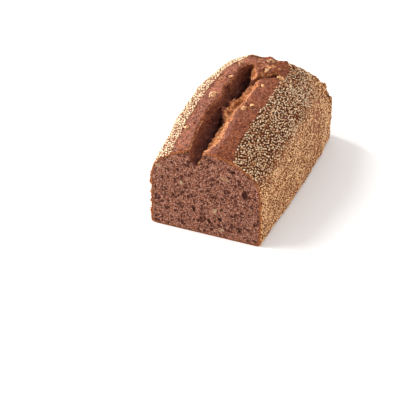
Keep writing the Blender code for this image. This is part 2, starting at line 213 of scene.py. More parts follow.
class WalnutBreadSizes(bpy.types.PropertyGroup):
    """Sizes that a user would change."""
    mesh_pitch: length_property("Mesh pitch", "Spacing of the loaf's mesh across the loaf", 0.85 * MM)
    mesh_step: length_property("Mesh step", "Spacing of the loaf's mesh along the loaf", 1.5 * MM)
    pore_width: length_property("Pore width", "Width of a middling pore of the crumb", 1.45 * MM)
    pore_count: IntProperty(name="Pores", description="Pores opened in the cut face", default=620, min=0)
    tear_depth: length_property("Tear depth", "Raggedness of the torn crumb in the split", 1.5 * MM)
    seed_length: length_property("Seed length", "Length of a sesame seed", 3.15 * MM)
    seed_width: length_property("Seed width", "Width of a sesame seed", 1.8 * MM)
    seed_thickness: length_property("Seed thickness", "Thickness of a sesame seed", 1.15 * MM)
    seed_spacing: length_property("Seed spacing", "Middling distance between two seeds", 2.3 * MM)
    key_power: power_property("Key light", "Power of the main light", 24)
    fill_power: power_property("Fill light", "Power of the soft light from the right", 13)
    back_power: power_property("Back light", "Power of the light behind on the left", 55)
    room_light: FloatProperty(
        name="Room light", description="Strength of the even light from all sides", default=0.8, min=0)


class WalnutBreadColours(bpy.types.PropertyGroup):
    """Colours that a user would change."""
    crumb: colour_property("Crumb", "Cut crumb", 174, 107, 80)
    crumb_pale: colour_property("Pale crumb", "Pale walls between the crumb's pores", 222, 172, 150)
    # The pore colour is painted shade inside the pores
    pore: colour_property("Pore", "Inside of a pore", 72, 30, 21)
    rim: colour_property("Rim", "Thin crust seen at the edge of the cut face", 190, 114, 64)
    bare: colour_property("Bare crust", "Crust without seed", 136, 68, 38)
    bare_dark: colour_property("Dark bare crust", "Darker streaks of the bare crust", 76, 32, 18)
    # The crust between the slopes' seeds is dark partly as its own colour and partly as painted shade between
    # the seeds
    coat: colour_property("Crust under seed", "Crust between the seeds of the slopes", 82, 40, 14)
    coat_wall: colour_property("Wall crust", "Crust between the seeds of the walls", 134, 69, 28)
    bloom: colour_property("Crust bloom", "Pale grains of the bare crust", 184, 112, 78)
    rubbed: colour_property("Rubbed crust", "Crust of the wall where the seed is rubbed off", 158, 98, 70)
    torn: colour_property("Torn crumb", "Torn crumb at the lips of the split", 226, 138, 80)
    # Pale torn crumb is a painted highlight on the raised tips, and dark torn crumb is painted shade in the
    # hollows; the dark one also specks the rim
    torn_pale: colour_property("Pale torn crumb", "Tips of the torn crumb", 250, 196, 144)
    torn_dark: colour_property("Dark torn crumb", "Hollows of the torn crumb", 112, 42, 22)
    # The depth colour is painted shade, low in the split and round the walnut pieces
    deep: colour_property("Depth of the split", "Bottom of the split", 140, 86, 78)
    # The inner wall's colour is its darker skin, darkened further as painted shade
    inner: colour_property("Inner wall", "Steep left wall of the split", 134, 74, 54)
    seed: colour_property("Sesame", "Pale sesame of the slopes", 234, 208, 170)
    seed_gold: colour_property("Golden sesame", "Sesame baked against the tin", 246, 200, 144)
    seed_brown: colour_property("Brown sesame", "The most baked of the sesame", 170, 108, 60)
    walnut: colour_property("Walnut", "Toasted walnut", 240, 176, 116)
    walnut_deep: colour_property("Walnut fold", "Skin in a walnut's folds", 74, 34, 20)
    walnut_cut: colour_property("Cut walnut", "Walnut cut by the knife", 172, 148, 114)
    floor: colour_property("Floor", "Floor of the studio", 242, 241, 240)


def smooth_max(a, b, blend):
    """The larger of two distances, rounded off where they meet."""
    near = np.maximum(blend - np.abs(a - b), 0) / blend
    return np.maximum(a, b) + near * near * blend / 4


def smooth_step(value, low, high):
    share = np.clip((value - low) / (high - low), 0, 1)
    return share * share * (3 - 2 * share)


def rough(x, y, z, size, seed):
    """Smooth random relief from -1 to 1, with lumps of about the given size."""
    table = np.random.default_rng(seed).uniform(-1, 1, 8192)
    cells = [np.floor(axis / size).astype(np.int64) for axis in (x, y, z)]
    parts = [axis / size - cell for axis, cell in zip((x, y, z), cells)]
    parts = [part * part * (3 - 2 * part) for part in parts]
    total = 0
    for corner in range(8):
        step = (corner & 1, corner >> 1 & 1, corner >> 2 & 1)
        key = 0
        weight = 1
        for cell, part, up, prime in zip(cells, parts, step, (73856093, 19349663, 83492791)):
            key = key ^ (cell + up) * prime
            weight = weight * (part if up else 1 - part)
        total = total + weight * table[key & 8191]
    return total


def lumps(x, s, z):
    """Slow unevenness of the baked skin, from -1 to 1."""
    a = np.sin(61 * x + 2.1 * np.sin(37 * s) + 0.7) * np.sin(83 * s + 1.3)
    b = np.sin(127 * z + 1.9 * np.sin(71 * s + 1)) * np.sin(97 * (x + s) + 2.2)
    return 0.6 * a + 0.4 * b


def crown_at(s):
    """The height of the top's ridge at distance s from the cut."""
    return CROWN + CROWN_RISE * np.sin(np.pi * s / CROWN_SPAN)


def skin(x, y, z):
    """How far a point is outside the loaf's skin before it split; negative inside."""
    s = y - CUT_Y
    swell = np.sin(np.pi * np.clip(s / BULGE_SPAN, 0, 1.1))
    far = np.clip((s - FAR_FROM) / FAR_SPAN, 0, 1) * (FAR_DROP + FAR_LEAN * np.clip(x / HALF_LEAN, -1, 1))
    shoulder = SHOULDER + SHOULDER_RISE * np.sin(np.pi * s / SHOULDER_SPAN) - far
    crown = crown_at(s) - CROWN_DROP * (x - CROWN_CENTRE) ** 2
    for lump_x, lump_s, reach, height in CRUST_LUMPS:
        off = np.hypot(x - lump_x * MM, s - lump_s * MM) / (reach * MM)
        crown = crown + height * MM * np.exp(-2 * off * off)
    corner_radius = np.where(x > 0, HEEL_CORNER_RIGHT, HEEL_CORNER_LEFT)
    side = np.abs(x) - HALF_WIDTH - HALF_BULGE * swell + corner_radius
    end = s - LENGTH + corner_radius
    corner = np.hypot(np.maximum(side, 0), np.maximum(end, 0))
    wall = corner + np.minimum(np.maximum(side, end), 0) - corner_radius
    slope = (wall + z - shoulder) / math.sqrt(2)
    top = smooth_max(slope, z - crown, CROWN_BLEND)
    body = smooth_max(wall, top, SHOULDER_BLEND) + LUMP * lumps(x, s, z)
    return smooth_max(body, -z, BASE_BLEND)


def skin_normals(points):
    """The skin's unit normals at many points."""
    step = 0.6 * MM
    slopes = []
    for axis in range(3):
        shift = np.zeros(3)
        shift[axis] = step
        slopes.append(skin(*(points + shift).T) - skin(*(points - shift).T))
    normals = np.stack(slopes, axis=1)
    return normals / np.linalg.norm(normals, axis=1)[:, None]


def stations(table, s):
    """The columns of a table of millimetres, read off at distance s from the cut."""
    table = np.array(table, float) * MM
    return [np.interp(s, table[:, 0], column) for column in table[:, 1:].T]


def split_gap(x, s, z, table, ragged):
    """How far a point is outside the gap of a split; negative in the gap."""
    floor_x, floor_z, left, right = stations(table, s)
    crest = np.maximum(crown_at(s), floor_z + 4 * MM)
    up = np.clip((z - floor_z) / (crest - floor_z), 0, 1.3)
    left_foot = floor_x - FLOOR_HALF
    right_foot = floor_x + FLOOR_HALF
    left_wall = left_foot + (left - left_foot) * up**0.7
    right_wall = right_foot + (right - right_foot) * up**2.2
    gap = np.maximum(LEFT_LEAN * (left_wall - x), RIGHT_LEAN * (x - right_wall))
    gap = smooth_max(gap, floor_z - z, 2 * MM) + ragged
    return np.maximum(gap, np.maximum(s - table[-1][0] * MM, table[0][0] * MM - s))


def torn_shelf(x, s, z):
    """How far a point is outside the torn shelf that juts into the far half of the split."""
    edge, top = stations(SHELF, s)
    behind = x - edge
    dip = 4.5 * MM * smooth_step(behind, 4 * MM, 7 * MM) * (1 - smooth_step(behind, 9 * MM, 13 * MM))
    dip = dip * (1 - 0.75 * smooth_step(s, 94 * MM, 104 * MM))
    shelf = smooth_max(-behind, z - top + dip, 1.5 * MM)
    return np.maximum(shelf, np.maximum(SHELF[0][0] * MM - s, s - SHELF[-1][0] * MM))


def heel_crack(x, y, z):
    """How far a point is outside the short crack at the heel's corner."""
    turn, across = math.cos(HEEL_CRACK_TURN), math.sin(HEEL_CRACK_TURN)
    dx, dy = x - HEEL_CRACK[0], y - HEEL_CRACK[1]
    u = (dx * turn + dy * across) / HEEL_CRACK_SIZE[0]
    v = (dy * turn - dx * across) / HEEL_CRACK_SIZE[1]
    w = (z - HEEL_CRACK[2]) / HEEL_CRACK_SIZE[2]
    return (np.sqrt(u * u + v * v + w * w) - 1) * HEEL_CRACK_SIZE[0]


def open_space(x, y, z, ragged=0.0):
    """How far a point is outside the splits and the crack."""
    s = y - CUT_Y
    gap = split_gap(x, s, z, SPLIT, ragged)
    gap = smooth_max(gap, -torn_shelf(x, s, z) - ragged, 1.5 * MM)
    gap = np.minimum(gap, split_gap(x, s, z, BRANCH, ragged - BRANCH_OPEN))
    return np.minimum(gap, heel_crack(x, y, z))


def surface_net(field, axes):
    """A closed mesh of four-sided faces where the field changes sign on a grid of x, y and z."""
    shape = np.array(field.shape)
    cells = shape - 1
    total = np.zeros((cells.prod(), 3))
    count = np.zeros(cells.prod())
    quads = []
    for axis in range(3):
        step = np.eye(3, dtype=int)[axis]
        side, rise = np.eye(3, dtype=int)[(axis + 1) % 3], np.eye(3, dtype=int)[(axis + 2) % 3]
        low = field[tuple(slice(0, n - d) for n, d in zip(shape, step))]
        high = field[tuple(slice(d, n) for n, d in zip(shape, step))]
        at = np.argwhere((low < 0) != (high < 0))
        start = field[tuple(at.T)]
        end = field[tuple((at + step).T)]
        place = np.stack([axes[d][at[:, d]] for d in range(3)], axis=1)
        place[:, axis] += start / (start - end) * (axes[axis][at[:, axis] + 1] - axes[axis][at[:, axis]])
        ring = []
        for corner in (side + rise, rise, 0 * rise, side):
            flat = np.ravel_multi_index((at - corner).T, cells)
            for d in range(3):
                total[:, d] += np.bincount(flat, place[:, d], len(total))
            count += np.bincount(flat, minlength=len(total))
            ring.append(flat)
        ring = np.stack(ring, axis=1)
        ring[start > 0] = ring[start > 0][:, ::-1]
        quads.append(ring)
    quads = np.concatenate(quads)
    used, quads = np.unique(quads, return_inverse=True)
    return total[used] / count[used][:, None], quads.reshape(-1, 4)


def largest_part(points, quads):
    """Drops every scrap that isn't joined to the largest part."""
    label = np.arange(len(points))
    ends = np.concatenate([quads[:, [i, (i + 1) % 4]] for i in range(4)])
    while True:
        low = np.minimum(label[ends[:, 0]], label[ends[:, 1]])
        lower = label.copy()
        np.minimum.at(lower, ends[:, 0], low)
        np.minimum.at(lower, ends[:, 1], low)
        lower = lower[lower]
        if (lower == label).all():
            break
        label = lower
    keep = label == np.bincount(label).argmax()
    renumber = np.cumsum(keep) - 1
    return points[keep], renumber[quads[keep[quads[:, 0]]]]


def mesh_object(name, points, faces, materials, attributes=()):
    """A smooth-shaded object from arrays of points and faces, with named values on its points."""
    mesh = bpy.data.meshes.new(name)
    mesh.from_pydata(points.tolist(), [], faces.tolist())
    for material in materials:
        mesh.materials.append(material)
    for label, values in dict(attributes).items():
        layer = mesh.attributes.new(label, "FLOAT", "POINT")
        layer.data.foreach_set("value", np.asarray(values, np.float32))
    mesh.shade_smooth()
    mesh.update()
    obj = bpy.data.objects.new(name, mesh)
    bpy.context.scene.collection.objects.link(obj)
    return obj


def dress(obj, slot, *nodes):
    """Fixes a piece to the loaf's body and hides the solids that it stands for."""
    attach(obj, "root")
    if nodes:
        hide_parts(*nodes)


# Shading


class Board:
    """A short way to write a node tree."""

    def __init__(self, tree):
        self.tree = tree

    def node(self, kind, settings=(), **sockets):
        made = self.tree.nodes.new(kind)
        for key, value in dict(settings).items():
            setattr(made, key, value)
        for key, value in sockets.items():
            socket = made.inputs[int(key[1:]) if key.startswith("n") else key.replace("_", " ")]
            if isinstance(value, bpy.types.NodeSocket):
                self.link(value, socket)
            else:
                socket.default_value = value
        return made

    def link(self, start, end):
        self.tree.links.new(start, end)

    def math(self, operation, a, b=0.0):
        return self.node("ShaderNodeMath", {"operation": operation}, n0=a, n1=b).outputs[0]

    def times(self, a, b):
        return self.math("MULTIPLY", a, b)

    def plus(self, a, b):
        return self.math("ADD", a, b)

    def mix(self, share, a, b, blend="MIX"):
        made = self.node("ShaderNodeMix", {"data_type": "RGBA", "blend_type": blend}, n0=share, n6=a, n7=b)
        return made.outputs[2]

    def span(self, value, low, high, bottom=0.0, top=1.0):
        made = self.node("ShaderNodeMapRange", {"interpolation_type": "SMOOTHSTEP"}, Value=value,
                         From_Min=low, From_Max=high, To_Min=bottom, To_Max=top)
        return made.outputs[0]

    def noise(self, vector, scale, detail=2.0, roughness=0.5):
        made = self.node("ShaderNodeTexNoise", Vector=vector, Scale=scale, Detail=detail, Roughness=roughness)
        return made.outputs["Fac"]

    def attribute(self, name):
        return self.node("ShaderNodeAttribute", {"attribute_name": name}).outputs["Fac"]

    def emboss(self, shader, strength, distance, height):
        bump = self.node("ShaderNodeBump", Strength=strength, Distance=distance, Height=height)
        self.link(bump.outputs[0], shader.inputs["Normal"])

    def group(self, tree, **sockets):
        return self.node("ShaderNodeGroup", {"node_tree": tree}, **sockets)


def new_group(name, inputs, outputs):
    """An empty node group with named sockets, and its input and output nodes."""
    tree = bpy.data.node_groups.new(name, "ShaderNodeTree")
    for label, kind, value in inputs:
        socket = tree.interface.new_socket(label, in_out="INPUT", socket_type="NodeSocket" + kind)
        if value is not None:
            socket.default_value = value
    for label, kind in outputs:
        tree.interface.new_socket(label, in_out="OUTPUT", socket_type="NodeSocket" + kind)
    return tree, tree.nodes.new("NodeGroupInput"), tree.nodes.new("NodeGroupOutput")


def baked_mottle():
    """Blotches of a second colour with fine specks in them, as baking leaves them."""
    tree = bpy.data.node_groups.get("Baked mottle")
    if tree:
        return tree
    tree, given, out = new_group(
        "Baked mottle",
        [("Vector", "Vector", None), ("Colour", "Color", None), ("Second", "Color", None),
         ("Scale", "Float", 150.0), ("Amount", "Float", 0.6)],
        [("Colour", "Color"), ("Height", "Float")])
    board = Board(tree)
    given = given.outputs
    broad = board.noise(given["Vector"], given["Scale"], 3.0, 0.6)
    fine = board.noise(given["Vector"], board.times(given["Scale"], 5.0), 3.0, 0.7)
    share = board.plus(board.span(broad, 0.35, 0.65), board.span(fine, 0.35, 0.7))
    share = board.times(board.times(share, 0.5), given["Amount"])
    board.link(board.mix(share, given["Colour"], given["Second"]), out.inputs["Colour"])
    board.link(board.plus(board.times(broad, 0.6), board.times(fine, 0.4)), out.inputs["Height"])
    return tree


def fine_pores():
    """Irregular pores of two sizes: their mask, the lips round them, and the height of the surface."""
    tree = bpy.data.node_groups.get("Fine pores")
    if tree:
        return tree
    tree, given, out = new_group(
        "Fine pores",
        [("Vector", "Vector", None), ("Scale", "Float", 400.0), ("Width", "Float", 0.45),
         ("Bend", "Float", 0.002)],
        [("Pores", "Float"), ("Lips", "Float"), ("Height", "Float")])
    board = Board(tree)
    given = given.outputs
    wander = board.node("ShaderNodeTexNoise", Vector=given["Vector"], Scale=given["Scale"], Detail=3.0)
    shift = board.node("ShaderNodeVectorMath", {"operation": "SUBTRACT"}, n0=wander.outputs["Color"],
                       n1=(0.5, 0.5, 0.5)).outputs[0]
    scale = board.node("ShaderNodeVectorMath", {"operation": "SCALE"}, n0=shift)
    board.link(given["Bend"], scale.inputs["Scale"])
    moved = board.node("ShaderNodeVectorMath", {"operation": "ADD"}, n0=given["Vector"],
                       n1=scale.outputs[0]).outputs[0]
    pores = lips = 0.0
    for finer, depth in ((1.0, 1.0), (2.1, 0.8)):
        scale_here = board.times(given["Scale"], finer)
        cell = board.node("ShaderNodeTexVoronoi", Vector=moved, Scale=scale_here)
        kind = board.node("ShaderNodeSeparateColor", Color=cell.outputs["Color"]).outputs[0]
        size = board.plus(board.times(board.times(kind, kind), 1.1), 0.3)
        hole = board.math("SUBTRACT", board.times(given["Width"], size), cell.outputs["Distance"])
        pores = board.math("MAXIMUM", pores, board.times(board.span(hole, -0.06, 0.1), depth))
        lips = board.math("MAXIMUM", lips, board.span(hole, -0.3, -0.06))
    lips = board.times(lips, board.math("SUBTRACT", 1.0, pores))
    board.link(pores, out.inputs["Pores"])
    board.link(lips, out.inputs["Lips"])
    height = board.math("SUBTRACT", board.times(lips, 0.3), pores)
    board.link(board.plus(height, 1.0), out.inputs["Height"])
    return tree


def new_material(name):
    material = bpy.data.materials.new(name)
    material.use_nodes = True
    board = Board(material.node_tree)
    shader = material.node_tree.nodes["Principled BSDF"]
    place = board.node("ShaderNodeTexCoord").outputs["Object"]
    return material, board, shader, place


def bread_material(colours):
    """Crust, crust under seed, torn crumb and cut crumb, each shown where the mesh's masks say."""
    material, board, shader, place = new_material("bread")
    mottle = baked_mottle()

    streaks = board.node("ShaderNodeMapping", Vector=place, Scale=(600, 190, 600)).outputs[0]
    streaks = board.noise(streaks, 1.0, 4.0, 0.7)
    grains = board.noise(place, 740.0, 3.0, 0.6)
    bare = board.group(
        mottle, Vector=place, Colour=colours.bare, Second=colours.bare_dark, Scale=130.0, Amount=0.5)
    broad = board.noise(place, 70.0, 3.0, 0.6)
    dull = board.mix(board.times(board.span(streaks, 0.48, 0.56), 0.95), bare.outputs["Colour"],
                     colours.bare_dark)
    dull = board.mix(board.span(broad, 0.36, 0.5, 0.5, 0.0), dull, colours.bare_dark)
    bloom = board.times(board.span(grains, 0.46, 0.62), board.span(broad, 0.42, 0.62, 0.5, 0.9))
    dull = board.mix(bloom, dull, colours.bloom)

    light_coat = board.span(board.attribute("wall"), 0.2, 1.0)
    # on the left slope the crust between the seeds takes the paler wall colour, as painted light
    light_coat = board.math("MAXIMUM", light_coat, board.attribute("faded"))
    coat = board.mix(light_coat, colours.coat, colours.coat_wall)
    coat = board.group(mottle, Vector=place, Colour=coat, Second=colours.bare_dark, Scale=220.0, Amount=0.5)
    crust = board.mix(board.attribute("coated"), dull, coat.outputs["Colour"])
    crust = board.mix(board.times(board.attribute("rubbed"), 0.7), crust, colours.rubbed)
    # painted shade round the walnut pieces and along the right lip, in the split's depth colour
    crust = board.mix(board.attribute("nook_shade"), crust, colours.deep)

    crags = board.group(fine_pores(), Vector=place, Scale=260.0, Width=0.55, Bend=0.003)
    rags = board.noise(place, 420.0, 4.0, 0.7)
    # painted shade in the torn crumb's hollows and painted highlight on its raised tips
    torn = board.mix(board.span(rags, 0.38, 0.47, 0.9, 0.0), colours.torn, colours.torn_dark)
    torn = board.mix(board.span(rags, 0.51, 0.6, 0.0, 0.9), torn, colours.torn_pale)
    torn = board.mix(board.times(crags.outputs["Pores"], 0.55), torn, colours.torn_dark)
    # painted shade: the split's walls darken with depth, and the shaded parts of the split take these walls
    walls = board.mix(board.attribute("depth"), colours.inner, colours.deep)
    walls = board.mix(board.span(rags, 0.4, 0.5, 0.5, 0.0), walls, colours.bare_dark)
    shaded = board.mix(board.span(rags, 0.54, 0.64, 0.0, 0.45), walls, colours.torn)
    torn = board.mix(board.attribute("deep"), torn, shaded)
    colour = board.mix(board.attribute("torn"), crust, torn)

    pores = board.group(fine_pores(), Vector=place, Scale=300.0, Width=0.46, Bend=0.0028)
    threads = board.noise(place, 760.0, 3.0, 0.65)
    crumb = board.group(
        mottle, Vector=place, Colour=colours.crumb, Second=colours.pore, Scale=90.0, Amount=0.06)
    crumb = crumb.outputs["Colour"]
    # painted shade: low threads, the fine pores and the carved pores' depths take the pore colour
    crumb = board.mix(board.span(threads, 0.41, 0.48, 0.85, 0.0), crumb, colours.pore)
    crumb = board.mix(board.span(threads, 0.52, 0.62, 0.0, 0.9), crumb, colours.crumb_pale)
    crumb = board.mix(board.times(pores.outputs["Pores"], 0.9), crumb, colours.pore)
    crumb = board.mix(board.times(board.attribute("pore"), 0.8), crumb, colours.pore)
    colour = board.mix(board.attribute("crumb"), colour, crumb)
    rim = board.mix(board.span(grains, 0.47, 0.6), colours.rim, colours.torn_dark)
    patchy = board.span(board.noise(place, 300.0), 0.36, 0.52, 0.25, 1.0)
    colour = board.mix(board.times(board.attribute("rim"), patchy), colour, rim)
    board.link(colour, shader.inputs["Base Color"])

    open_crumb = board.plus(pores.outputs["Height"], board.times(threads, 4.0))
    height = board.times(board.attribute("crumb"), open_crumb)
    cragged = board.plus(crags.outputs["Height"], board.times(rags, 5.0))
    height = board.plus(height, board.times(board.attribute("torn"), cragged))
    crusty = board.plus(board.times(streaks, 2.0), board.times(grains, 2.5))
    height = board.plus(height, crusty)
    board.emboss(shader, 0.9, 0.9 * MM, height)
    gloss = board.span(streaks, 0.2, 0.8, 0.55, 0.75)
    gloss = board.plus(gloss, board.times(board.attribute("crumb"), 0.2))
    board.link(gloss, shader.inputs["Roughness"])
    shader.inputs["Specular IOR Level"].default_value = 0.15
    return material


def seed_material(colours):
    """Sesame: each seed has its own shade, darker towards its ends, partly toasted and partly as painted
    shade, and darker as painted shade where it meets the crust.
    """
    material, board, shader, place = new_material("sesame")
    golden = board.attribute("golden")
    brown = colours.seed_brown
    shade = board.mix(golden, colours.seed, colours.seed_gold)
    shade = board.mix(board.attribute("shade"), shade, brown)
    speckled = board.group(baked_mottle(), Vector=place, Colour=shade, Second=brown, Scale=600.0, Amount=0.3)
    under = board.mix(golden, colours.coat, colours.coat_wall)
    # the seed's ends and underside take the crust colour, partly as painted shade
    tip = board.times(board.attribute("tip"), 0.7)
    board.link(board.mix(tip, speckled.outputs["Colour"], under), shader.inputs["Base Color"])
    board.emboss(shader, 0.3, 0.3 * MM, speckled.outputs["Height"])
    board.link(board.span(speckled.outputs["Height"], 0.3, 0.7, 0.38, 0.55), shader.inputs["Roughness"])
    shader.inputs["Specular IOR Level"].default_value = 0.35
    return material


def walnut_material(name, colour, deep):
    """Walnut: toasted ridges with darker skin in the folds."""
    material, board, shader, place = new_material(name)
    skin_tone = board.group(baked_mottle(), Vector=place, Colour=colour, Second=deep, Scale=260.0, Amount=0.7)
    folded = board.mix(board.attribute("fold"), skin_tone.outputs["Colour"], deep)
    board.link(folded, shader.inputs["Base Color"])
    board.emboss(shader, 0.5, 0.6 * MM, skin_tone.outputs["Height"])
    board.link(board.span(skin_tone.outputs["Height"], 0.3, 0.7, 0.45, 0.65), shader.inputs["Roughness"])
    return material


# The pieces


def grid_axes(sizes):
    """The grid's x, y and z: even across the loaf, and closer along it by the cut face."""
    pitch = sizes.mesh_pitch * 1
    near = np.arange(CUT_Y - 1.3 * MM, CUT_Y + 3.6 * MM, 0.55 * MM)
    far = np.arange(near[-1] + sizes.mesh_step, CAD_BOX[1][1] + 3 * MM, sizes.mesh_step)
    across = np.arange(CAD_BOX[0][0] - 1.2 * MM, CAD_BOX[1][0] + 1.2 * MM + pitch, pitch)
    up = np.arange(-1.5 * pitch, CAD_BOX[1][2] + 1.5 * MM + pitch, pitch)
    return across, np.concatenate([near, far]), up


def crag_relief(x, y, z, whole, gap, depth):
    """Relief of the torn crumb, of the baked crust, and of the crust's lumpy far end."""
    s = y - CUT_Y
    torn = smooth_step(-whole, 0.5 * MM, 3 * MM) * smooth_step(-gap, -4 * MM, -1 * MM)
    coarse = rough(x, y, z, 6.5 * MM, 11)
    middle = rough(x, y, z, 3 * MM, 12)
    fine = rough(x, y, z, 1.7 * MM, 13)
    tear = depth * (0.8 * coarse + 0.9 * middle + 0.6 * fine)
    crust = 0.4 * MM * coarse + 0.5 * MM * middle + 0.3 * MM * fine
    lumpy = (1 - smooth_step(np.hypot(x - 4 * MM, 0.8 * (s - 164 * MM)), 10 * MM, 26 * MM)) * (z > SHOULDER)
    crust = crust + lumpy * (2.6 * MM * coarse + 1.3 * MM * middle)
    for crag_x, crag_s, crag_z, reach, rise, height in CRAGS:
        off = np.hypot((x - crag_x * MM) / (reach * MM), (s - crag_s * MM) / (reach * MM))
        off = np.hypot(off, (z - crag_z * MM) / (rise * MM))
        crust = crust - height * MM * np.exp(-off * off)
    crumbs = (1 - smooth_step(s, 0.5 * MM, 4 * MM)) * (1.0 * MM * middle + 0.6 * MM * fine)
    return torn * tear + (1 - torn) * (crust + crumbs)


def nut_boxes(cut):
    """The boxes of the walnut pieces that the knife cut through, or of those in the crust, by name."""
    boxes = {name: np.array(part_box(name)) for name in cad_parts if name.startswith("walnut")}
    return {name: box for name, box in boxes.items() if (box[0][1] < CUT_Y + 1 * MM) == cut}


def block_between(axes, low, high):
    """The part of the grid that lies between two corners."""
    return tuple(slice(*np.searchsorted(axis, ends)) for axis, *ends in zip(axes, low, high))


def carve_pores(field, axes, sizes):
    """Opens pores of many sizes in the cut face, the large ones where the loaf has them."""
    nuts = [((low + high) / 2, (high - low) / 2 + 2 * MM) for low, high in nut_boxes(True).values()]
    rng = np.random.default_rng(5)
    width = sizes.pore_width
    pores = [
        (x * MM, z * MM, PORE_WIDER * wide * MM, PORE_WIDER * tall * MM, 0.3 * n)
        for n, (x, z, wide, tall) in enumerate(LARGE_PORES)]
    for _ in range(sizes.pore_count):
        x, z = rng.uniform(-HALF_WIDTH, HALF_WIDTH), rng.uniform(0, CROWN)
        size = width * rng.lognormal(0, 0.28)
        wide, tall = size * rng.uniform(0.6, 0.9), size * rng.uniform(0.9, 1.6)
        pores.append((x, z, wide, tall, rng.uniform(0, math.pi)))
    for x, z, wide, tall, turn in pores:
        if skin(x, CUT_Y, z) > -1.6 * MM:
            continue
        if any(np.hypot((x - middle[0]) / half[0], (z - middle[2]) / half[2]) < 1 for middle, half in nuts):
            continue
        reach = max(wide, tall) / 2 + 2 * MM
        middle = np.array((x, CUT_Y, z))
        block = block_between(axes, middle - reach, middle + reach)
        dx = axes[0][block[0]][:, None, None] - x
        dy = axes[1][block[1]][None, :, None] - CUT_Y
        dz = axes[2][block[2]][None, None, :] - z
        along = dx * math.cos(turn) + dz * math.sin(turn)
        across = dz * math.cos(turn) - dx * math.sin(turn)
        deep = min(wide, 4.4 * MM)
        away = np.sqrt((along / wide) ** 2 + (across / tall) ** 2 + (dy / deep / 1.3) ** 2) * 2
        hollow = (1 - away) * min(wide, tall) / 2
        field[block] = smooth_max(field[block], hollow, 0.5 * MM)


def open_round_nuts(field, axes):
    """Opens a narrow gap in the crust round each walnut piece that sits in it."""
    for name, (low, high) in nut_boxes(False).items():
        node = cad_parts[name]
        shell = np.array([node.matrix_world @ vert.co for vert in node.data.vertices])
        block = block_between(axes, low - 3 * MM, high + 3 * MM)
        grid = [axis[part] for axis, part in zip(axes, block)]
        place = np.stack(np.meshgrid(*grid, indexing="ij"), axis=-1)
        away = np.linalg.norm(place[..., None, :] - shell, axis=-1).min(axis=-1)
        field[block] = smooth_max(field[block], NUT_HOLLOW - away, 0.5 * MM)


def painted_nut_shadow(points):
    """How much painted shadow each point gets from a walnut piece of the crust, from 0 to 1: its nearness to
    the piece, shifted to one side.
    """
    near = np.zeros(len(points))
    shadow = (0.7 * MM, -0.5 * MM, 0)
    for low, high in nut_boxes(False).values():
        off = (points - (low + high) / 2 - shadow) / ((high - low) / 2 + 0.9 * MM)
        near = np.maximum(near, 1 - smooth_step(np.linalg.norm(off, axis=1), 0.7, 1.1))
    return near


def loaf_field(sizes, axes):
    """How far each point of the grid is outside the finished loaf; negative inside."""
    x, y, z = np.meshgrid(*axes, indexing="ij", sparse=True)
    whole = skin(x, y, z)
    gap = open_space(x, y, z)
    field = smooth_max(whole, -gap, LIP_BLEND)
    band = np.abs(field) < SKIN_BAND
    place = [np.broadcast_to(axis, field.shape)[band] for axis in (x, y, z)]
    relief = crag_relief(*place, whole[band], gap[band], sizes.tear_depth)
    field[band] += relief * smooth_step(place[2], 0.5 * MM, 5 * MM)
    front = slice(0, np.searchsorted(axes[1], CUT_Y + 4 * MM))
    knife = CUT_Y - y[:, front] + KNIFE_DEPTH + KNIFE_ROUGH * rough(x, y[:, front], z, 2.2 * MM, 21)
    field[:, front] = np.maximum(field[:, front], knife)
    field = np.maximum(field, -z)
    carve_pores(field, axes, sizes)
    open_round_nuts(field, axes)
    return field


def painted_split_shade(x, s, z, inside):
    """Where shade is painted into a split, from 0 to 1: its left wall, low on its right wall, and in the side
    split.
    """
    rightward = smooth_step(x - stations(SPLIT, s)[0], -1 * MM, 2 * MM)
    shelf_top = stations(SHELF, s)[1]
    on_shelf = (s > SHELF[0][0] * MM) & (s < SHELF[-1][0] * MM)
    low = np.where(
        on_shelf, smooth_step(shelf_top - z, 5 * MM, 10 * MM), smooth_step(inside, 15 * MM, 22 * MM))
    deep = (1 - rightward) * smooth_step(inside, 0.5 * MM, 2.5 * MM) + rightward * low
    side_gap = split_gap(x, s, z, BRANCH, -BRANCH_OPEN)
    side_deep = smooth_step(inside, 2 * MM, 6 * MM) * (1 - smooth_step(side_gap, 1 * MM, 2.5 * MM))
    return np.maximum(deep, side_deep)


